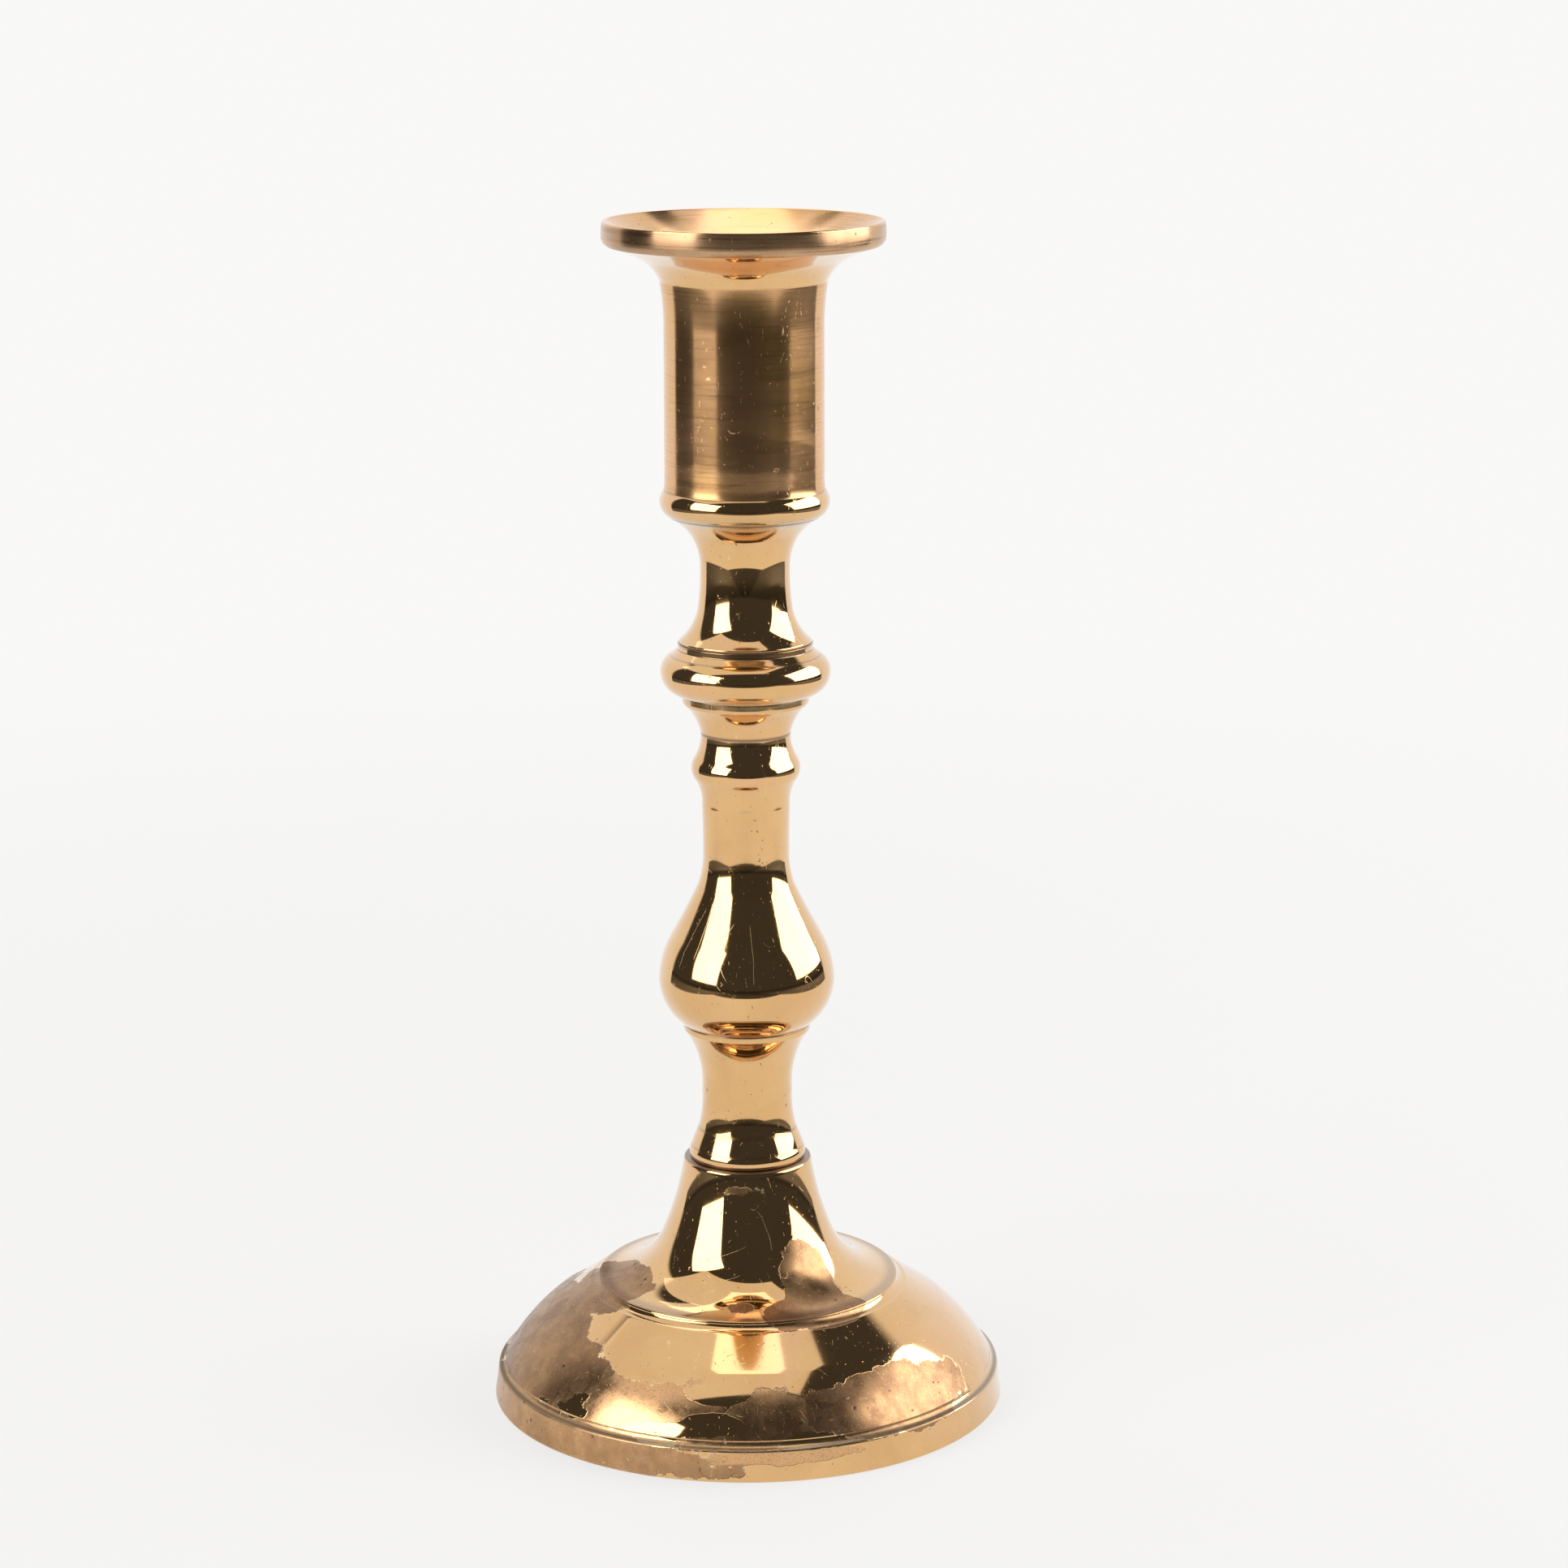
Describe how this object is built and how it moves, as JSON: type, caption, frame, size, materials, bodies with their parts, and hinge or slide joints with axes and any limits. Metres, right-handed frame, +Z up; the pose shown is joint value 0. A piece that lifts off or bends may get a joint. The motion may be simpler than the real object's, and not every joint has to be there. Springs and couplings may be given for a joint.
{
  "type": "candlestick",
  "caption": "Turned brass candlestick with a flared drip pan, a baluster stem and a domed hollow base, clamped together by a threaded rod.",
  "frame": {"origin": "centre of the foot's bottom face, on the table", "axes": "+Z up along the turning axis; X and Y are free, as every visible piece is turned round Z"},
  "size_m": [0.0994, 0.0994, 0.2286],
  "materials": {
    "base_brass": "polished, lacquered, with tarnish where the lacquer has peeled",
    "stem_brass": "polished and lacquered",
    "cup_brass": "polished, with fine turning lines",
    "rod_steel": "plain threaded steel",
    "washer_steel": "zinc plated",
    "nut_steel": "zinc plated"
  },
  "bodies": {
    "root": {"base": "base_brass", "pedestal": "stem_brass", "baluster": "stem_brass", "knop": "stem_brass", "neck": "stem_brass", "candle_cup": "cup_brass", "tie_rod": "rod_steel", "plain_washer": "washer_steel", "lock_washer": "washer_steel", "hex_nut": "nut_steel"}
  },
  "joints": []
}
